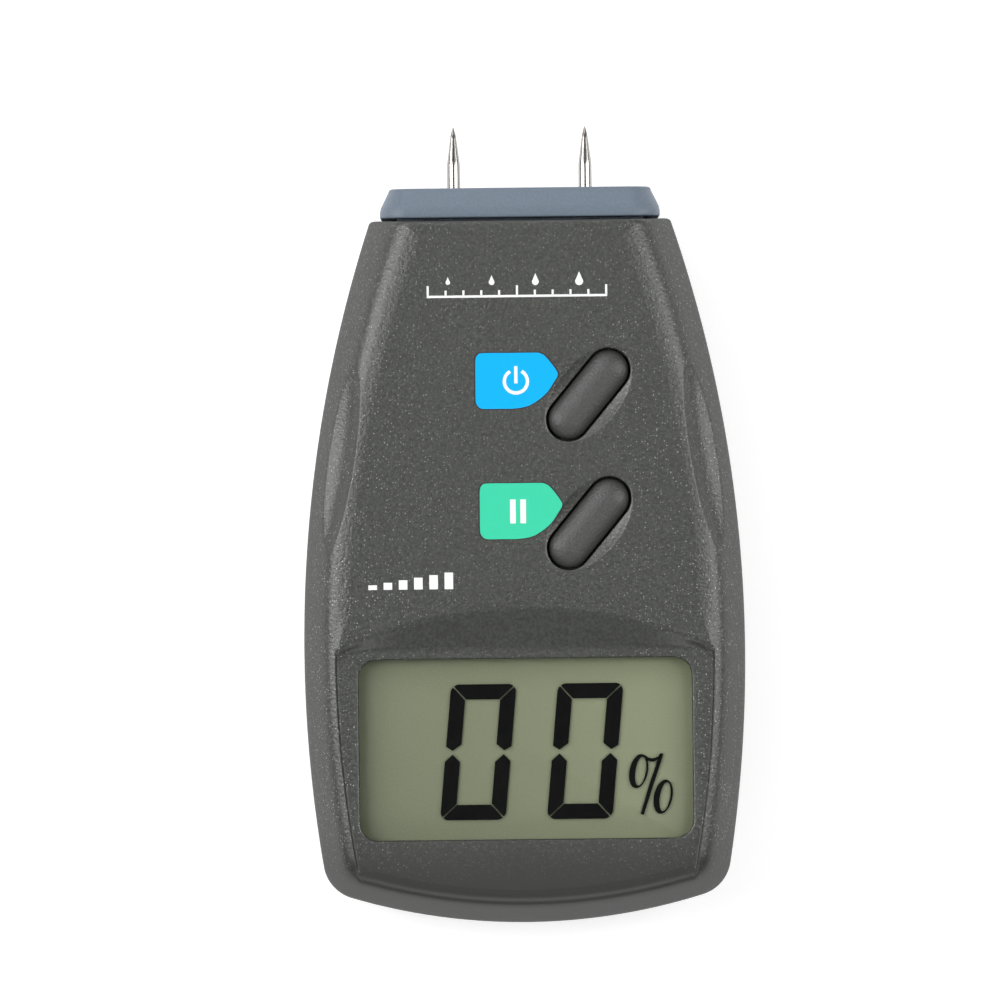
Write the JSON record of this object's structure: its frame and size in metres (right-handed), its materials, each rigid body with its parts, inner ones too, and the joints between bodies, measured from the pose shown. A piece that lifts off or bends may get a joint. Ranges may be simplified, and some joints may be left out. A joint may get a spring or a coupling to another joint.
{
  "type": "moisture meter",
  "caption": "Handheld two-pin moisture meter with a tapered two-shell case, slanted power and hold buttons, a large digit display and a sliding battery door.",
  "frame": {"origin": "centre of the bounding box in X and Y, on the plane of the flat back", "axes": "+Z out of the front face, +Y along the case towards the electrode pins, +X across the case to the right of the display"},
  "size_m": [0.067, 0.1208, 0.03],
  "materials": {
    "case_plastic": "fine spark-eroded texture, dark green-grey",
    "head_plastic": "fine texture, blue-grey",
    "button_rubber": "satin, finely grained",
    "pin_steel": "polished nickel-plated steel",
    "plated_steel": "bright plated",
    "terminal_brass": "stamped sheet",
    "window_clear": "clear acrylic",
    "lcd_panel": "grey-green reflective display with black segments",
    "reflector": "diffusing film",
    "black_plastic": "moulded",
    "black_rubber": "silicone strip",
    "board_green": "solder mask over glass fibre",
    "component_tan": "mixed board components",
    "battery_can": "plain dark sleeve",
    "foam_grey": "closed-cell foam",
    "snap_vinyl": "soft vinyl",
    "lead_red": "PVC insulation",
    "lead_black": "PVC insulation",
    "lead_white": "PVC insulation",
    "print_white": "pad-printed ink",
    "print_blue": "pad-printed ink",
    "print_green": "pad-printed ink"
  },
  "bodies": {
    "meter": {"front_case": "case_plastic", "back_case": "case_plastic", "electrode_head": "head_plastic", "electrode_pin_left": "pin_steel", "electrode_pin_right": "pin_steel", "pin_nuts": "plated_steel", "ring_terminals": "terminal_brass", "electrode_lead_left": "lead_white", "electrode_lead_right": "lead_black", "display_window": "window_clear", "lcd_glass": "lcd_panel", "lcd_reflector": "reflector", "lcd_frame": "black_plastic", "zebra_strip_upper": "black_rubber", "zebra_strip_lower": "black_rubber", "circuit_board": "board_green", "controller_chip": "black_plastic", "board_components": "component_tan", "power_switch": "black_plastic", "hold_switch": "black_plastic", "battery": "battery_can", "battery_terminals": "plated_steel", "battery_foam": "foam_grey", "battery_snap": "snap_vinyl", "snap_contacts": "plated_steel", "battery_lead_red": "lead_red", "battery_lead_black": "lead_black", "case_screws": "plated_steel", "board_screws": "plated_steel"},
    "power_key": {"power_button": "button_rubber", "power_plunger": "black_plastic"},
    "hold_key": {"hold_button": "button_rubber", "hold_plunger": "black_plastic"},
    "door": {"battery_door": "case_plastic"}
  },
  "joints": [
    {"name": "power_press", "type": "slide", "parent": "meter", "child": "power_key", "axis": [0, 0, 1], "range_m": [-0.0005, 0], "stiffness_N_per_m": 600},
    {"name": "hold_press", "type": "slide", "parent": "meter", "child": "hold_key", "axis": [0, 0, 1], "range_m": [-0.0005, 0], "stiffness_N_per_m": 600},
    {"name": "door_slide", "type": "slide", "parent": "meter", "child": "door", "axis": [0, -1, 0], "range_m": [0, 0.062]}
  ]
}
